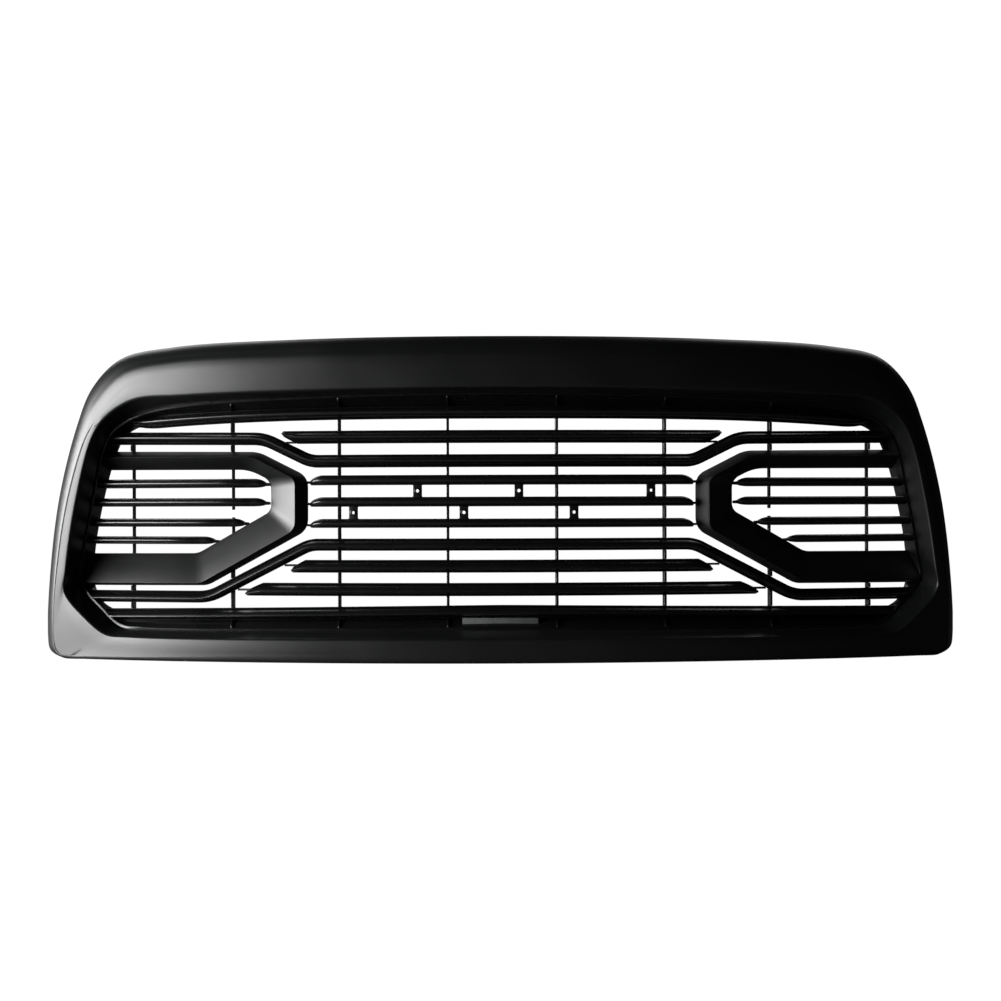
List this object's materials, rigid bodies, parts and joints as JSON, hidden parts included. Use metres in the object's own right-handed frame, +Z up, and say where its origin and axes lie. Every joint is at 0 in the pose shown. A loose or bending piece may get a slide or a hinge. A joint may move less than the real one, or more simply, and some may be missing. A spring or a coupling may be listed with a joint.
{
  "type": "front grille",
  "caption": "Bowed front grille: a rolled surround shell with a recessed insert of horizontal blades, vertical ribs and a C-shaped wing at each side.",
  "frame": {"origin": "Middle of the bottom of the overall box, at the height of the level lower edge.", "axes": "+X from the left wing to the right wing as seen by someone facing the grille, along its length. The grille faces -Y. +Z is up."},
  "size_m": [1.2394, 0.2344, 0.4265],
  "materials": {
    "satin_black": "satin black paint on moulded plastic",
    "moulded_black": "moulded satin",
    "steel": "zinc plated"
  },
  "bodies": {
    "root": {"badge_tab_1": "moulded_black", "badge_tab_2": "moulded_black", "badge_tab_3": "moulded_black", "badge_tab_4": "moulded_black", "badge_tab_5": "moulded_black", "badge_tab_6": "moulded_black", "centre_blade_1": "moulded_black", "centre_blade_2": "moulded_black", "centre_blade_3": "moulded_black", "crown_blade": "moulded_black", "insert_frame": "moulded_black", "insert_screw_1": "steel", "insert_screw_2": "steel", "insert_screw_3": "steel", "insert_screw_4": "steel", "insert_screw_5": "steel", "insert_screw_6": "steel", "insert_screw_7": "steel", "insert_screw_8": "steel", "left_wing_blade_1": "moulded_black", "left_wing_blade_2": "moulded_black", "left_wing_blade_3": "moulded_black", "left_wing_blade_4": "moulded_black", "left_wing_carrier": "moulded_black", "left_wing_trim": "satin_black", "lower_blade_1": "moulded_black", "lower_blade_2": "moulded_black", "lower_shoulder_blade": "moulded_black", "lower_spring_clip_1": "steel", "lower_spring_clip_2": "steel", "rib_1": "moulded_black", "rib_2_lower": "moulded_black", "rib_2_upper": "moulded_black", "rib_3": "moulded_black", "rib_4": "moulded_black", "rib_5": "moulded_black", "rib_6": "moulded_black", "rib_7_lower": "moulded_black", "rib_7_upper": "moulded_black", "rib_8": "moulded_black", "right_wing_blade_1": "moulded_black", "right_wing_blade_2": "moulded_black", "right_wing_blade_3": "moulded_black", "right_wing_blade_4": "moulded_black", "right_wing_carrier": "moulded_black", "right_wing_trim": "satin_black", "sill_blade": "moulded_black", "surround_shell": "satin_black", "top_push_pin_1": "moulded_black", "top_push_pin_2": "moulded_black", "top_push_pin_3": "moulded_black", "top_push_pin_4": "moulded_black", "upper_blade": "moulded_black", "upper_shoulder_blade": "moulded_black"}
  },
  "joints": []
}
